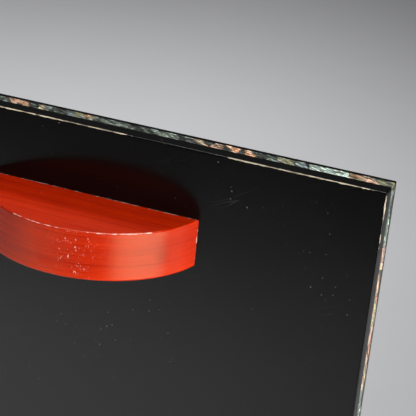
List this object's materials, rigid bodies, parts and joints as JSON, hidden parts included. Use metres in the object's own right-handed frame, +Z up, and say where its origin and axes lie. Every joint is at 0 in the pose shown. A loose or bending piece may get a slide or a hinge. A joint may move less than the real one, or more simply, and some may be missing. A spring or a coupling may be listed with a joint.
{
  "type": "bento lunch box",
  "caption": "Tall lacquered bento case with a slide-up front board on a half-moon pull, stacked food boxes inside and a brass bail on top.",
  "frame": {"origin": "centre of the underside of the base plinth, on the surface that the case stands on", "axes": "+Z up, -Y towards the front board, +X to the right of someone facing the front board"},
  "size_m": [0.179, 0.2192, 0.412],
  "materials": {
    "black_lacquer": "gloss black lacquer on thin wooden boards",
    "red_lacquer": "satin vermilion lacquer with brush streaks",
    "pearl": "cracked abalone shell under clear lacquer",
    "bamboo": "bare bamboo",
    "brass": "aged satin brass"
  },
  "bodies": {
    "case": {"base_plinth": "black_lacquer", "bottom_board": "black_lacquer", "left_side": "black_lacquer", "right_side": "black_lacquer", "back_board": "black_lacquer", "top_board": "black_lacquer", "case_dowels": "bamboo", "handle_post_left": "brass", "handle_post_right": "brass", "handle_plate_left": "brass", "handle_plate_right": "brass", "handle_nuts": "brass"},
    "front": {"door_board": "black_lacquer", "door_pull": "red_lacquer", "pull_dowels": "bamboo", "door_runner_left": "black_lacquer", "door_runner_right": "black_lacquer", "runner_dowels": "bamboo", "pearl_top": "pearl", "pearl_bottom": "pearl", "pearl_left": "pearl", "pearl_right": "pearl"},
    "tier_1": {"tier_1_walls": "black_lacquer", "tier_1_floor": "red_lacquer", "tier_1_pull": "red_lacquer", "tier_1_divider": "red_lacquer"},
    "tier_2": {"tier_2_walls": "black_lacquer", "tier_2_floor": "red_lacquer", "tier_2_pull": "red_lacquer", "tier_2_long_divider": "red_lacquer", "tier_2_cross_divider": "red_lacquer"},
    "tier_3": {"tier_3_walls": "black_lacquer", "tier_3_floor": "red_lacquer", "tier_3_pull": "red_lacquer", "tier_3_divider": "red_lacquer"},
    "lid": {"tier_lid": "black_lacquer", "lid_knob": "red_lacquer"},
    "bail": {"handle_bail": "brass"}
  },
  "joints": [
    {"name": "front_slide", "type": "slide", "parent": "case", "child": "front", "axis": [0, 0, 1], "range_m": [-0.192, 0.05]},
    {"name": "tier_1_slide", "type": "slide", "parent": "case", "child": "tier_1", "axis": [0, -1, 0], "range_m": [0, 0.14]},
    {"name": "tier_2_slide", "type": "slide", "parent": "case", "child": "tier_2", "axis": [0, -1, 0], "range_m": [0, 0.14]},
    {"name": "tier_3_slide", "type": "slide", "parent": "case", "child": "tier_3", "axis": [0, -1, 0], "range_m": [0, 0.14]},
    {"name": "lid_lift", "type": "slide", "parent": "tier_3", "child": "lid", "axis": [0, 0, 1], "range_m": [0, 0.012]},
    {"name": "bail_swing", "type": "hinge", "parent": "case", "child": "bail", "pos_m": [0, 0, 0.2285], "axis": [1, 0, 0], "range_deg": [0, 170]}
  ]
}
